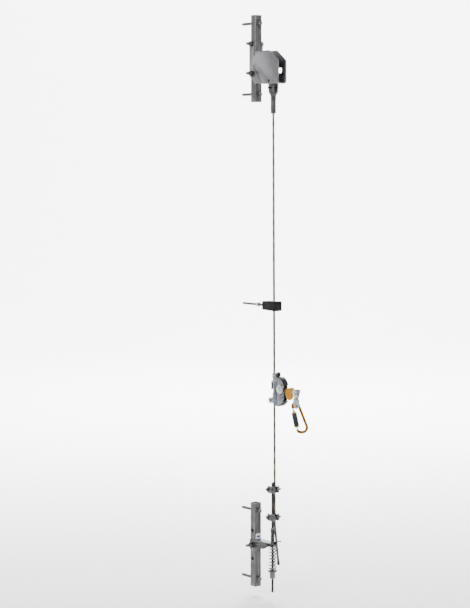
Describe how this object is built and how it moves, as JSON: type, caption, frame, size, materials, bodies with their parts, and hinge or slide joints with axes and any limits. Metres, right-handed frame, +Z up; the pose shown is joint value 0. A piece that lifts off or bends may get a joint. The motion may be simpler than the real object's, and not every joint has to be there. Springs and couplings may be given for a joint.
{
  "type": "vertical cable lifeline",
  "caption": "Vertical wire rope lifeline for a pole: top and bottom brackets, rope guide, spring tensioner and a sliding cable sleeve with a carabiner.",
  "frame": {"origin": "centre of the top mount tube's back face, where it lies on the pole", "axes": "+Z up along the pole, -Y outward from the pole towards the climber, +X across the pole"},
  "size_m": [0.0955, 0.3584, 2.259],
  "materials": {
    "galvanised": "hot-dip galvanised, dull grey",
    "satin_steel": "satin zinc plated",
    "black_steel": "black oxide",
    "wire_rope": "galvanised 7x19 wire rope",
    "black_rubber": "moulded black rubber",
    "black_plastic": "moulded black plastic",
    "stainless": "bead-blasted stainless steel",
    "blued_steel": "blue-grey hardened steel",
    "gold_anodised": "gold anodised",
    "bronze_anodised": "bronze anodised",
    "label_white": "blank white label"
  },
  "bodies": {
    "root": {"top_mount_tube": "galvanised", "top_lag_upper": "galvanised", "top_lag_lower": "galvanised", "top_plate_near": "satin_steel", "top_plate_far": "satin_steel", "top_load_lug": "satin_steel", "top_bolt_upper": "galvanised", "top_bolt_lower": "galvanised", "jaw_terminal": "galvanised", "clevis_pin": "stainless", "keeper_bolt": "black_steel", "lifeline_cable": "wire_rope", "cable_seizing": "wire_rope", "guide_block": "black_rubber", "guide_stem": "galvanised", "guide_collar": "stainless", "bottom_mount_tube": "galvanised", "bottom_lag_upper": "galvanised", "bottom_lag_lower": "galvanised", "bottom_arm": "galvanised", "arm_retaining_pin": "black_steel", "arm_bolt": "galvanised", "tube_label": "label_white", "tension_rod": "satin_steel", "rod_stop_collar": "galvanised", "guide_tube": "satin_steel", "tension_spring": "galvanised", "clip_upper_ubolt": "galvanised", "clip_upper_saddle": "galvanised", "clip_upper_bridge": "galvanised", "clip_lower_ubolt": "galvanised", "clip_lower_saddle": "galvanised", "clip_lower_bridge": "galvanised"},
    "tension_washer": {"tension_washer": "galvanised"},
    "tension_nut": {"tension_nut": "satin_steel"},
    "sleeve": {"sleeve_plate_near": "stainless", "sleeve_plate_far": "stainless", "upper_cable_shoe": "blued_steel", "lower_cable_shoe": "blued_steel", "sleeve_wear_strip": "blued_steel", "cover_upper": "black_plastic", "cover_lower": "black_plastic", "gate_hinge_pin": "stainless", "cam_axle": "stainless", "arm_axle": "stainless"},
    "top_roller": {"top_roller": "stainless"},
    "lower_roller": {"lower_roller": "stainless"},
    "cable_gate": {"cable_gate": "black_steel"},
    "gate_knob": {"gate_knob": "black_plastic"},
    "locking_cam": {"locking_cam": "black_steel"},
    "load_arm": {"load_arm": "satin_steel", "gold_link": "gold_anodised", "link_bolt": "stainless"},
    "swivel_fork": {"swivel_fork": "stainless"},
    "swivel_eye": {"swivel_eye": "stainless", "captive_pin": "black_steel"},
    "carabiner": {"carabiner_body": "bronze_anodised"},
    "carabiner_gate": {"carabiner_gate": "bronze_anodised"},
    "gate_barrel": {"gate_barrel": "black_steel"}
  },
  "joints": [
    {"name": "sleeve_slide", "type": "slide", "parent": "root", "child": "sleeve", "axis": [-0.0072, 0, 1], "range_m": [-0.28, 0.225]},
    {"name": "load_arm_pivot", "type": "hinge", "parent": "sleeve", "child": "load_arm", "pos_m": [0.00762, -0.1666, -1.28], "axis": [-1, 0, 0], "range_deg": [-12, 18]},
    {"name": "locking_cam_pivot", "type": "hinge", "parent": "sleeve", "child": "locking_cam", "pos_m": [0.00762, -0.147, -1.278], "axis": [-1, 0, 0], "range_deg": [-18, 27]},
    {"name": "top_roller_spin", "type": "hinge", "parent": "sleeve", "child": "top_roller", "pos_m": [0.00762, -0.1321, -1.228], "axis": [1, 0, 0], "continuous": true},
    {"name": "lower_roller_spin", "type": "hinge", "parent": "sleeve", "child": "lower_roller", "pos_m": [0.00762, -0.1024, -1.33], "axis": [1, 0, 0], "continuous": true},
    {"name": "cable_gate_hinge", "type": "hinge", "parent": "sleeve", "child": "cable_gate", "pos_m": [0.02212, -0.121, -1.269], "axis": [0, 0, -1], "range_deg": [0, 100], "stiffness_Nm_per_rad": 0.1, "springref_deg": -11.46},
    {"name": "gate_knob_press", "type": "slide", "parent": "sleeve", "child": "gate_knob", "axis": [0, 0, -1], "range_m": [0, 0.0035], "stiffness_N_per_m": 400, "springref_m": -0.002},
    {"name": "swivel_fork_hinge", "type": "hinge", "parent": "load_arm", "child": "swivel_fork", "pos_m": [0.00762, -0.251, -1.283], "axis": [-1, 0, 0], "range_deg": [-10, 75]},
    {"name": "swivel_spin", "type": "hinge", "parent": "swivel_fork", "child": "swivel_eye", "pos_m": [0.00762, -0.251, -1.31], "axis": [0, 0, 1], "continuous": true},
    {"name": "carabiner_swing", "type": "hinge", "parent": "swivel_eye", "child": "carabiner", "pos_m": [0.00762, -0.251, -1.336], "axis": [-0.6225, -0.7826, 0], "range_deg": [-70, 70]},
    {"name": "carabiner_gate_hinge", "type": "hinge", "parent": "carabiner", "child": "carabiner_gate", "pos_m": [-0.00083, -0.24428, -1.3515], "axis": [-0.6225, -0.7826, 0], "range_deg": [0, 16], "stiffness_Nm_per_rad": 0.3, "springref_deg": -17.19},
    {"name": "gate_barrel_twist", "type": "hinge", "parent": "carabiner_gate", "child": "gate_barrel", "pos_m": [-0.00083, -0.24428, -1.3515], "axis": [0.1587, -0.1262, -0.9792], "range_deg": [0, 90], "stiffness_Nm_per_rad": 0.02, "springref_deg": -28.65},
    {"name": "tension_washer_slide", "type": "slide", "parent": "root", "child": "tension_washer", "axis": [0, 0, 1], "range_m": [0, 0.03], "deforming": ["tension_spring"]},
    {"name": "tension_nut_turn", "type": "hinge", "parent": "tension_washer", "child": "tension_nut", "pos_m": [0, -0.12, -2.02], "axis": [0, 0, 1], "range_deg": [0, 7200]}
  ],
  "couplings": [
    {"joint": "locking_cam_pivot", "follows": "load_arm_pivot", "ratio": 1.5},
    {"joint": "tension_nut_turn", "follows": "tension_washer_slide", "rad_per_m": 4188.8}
  ]
}
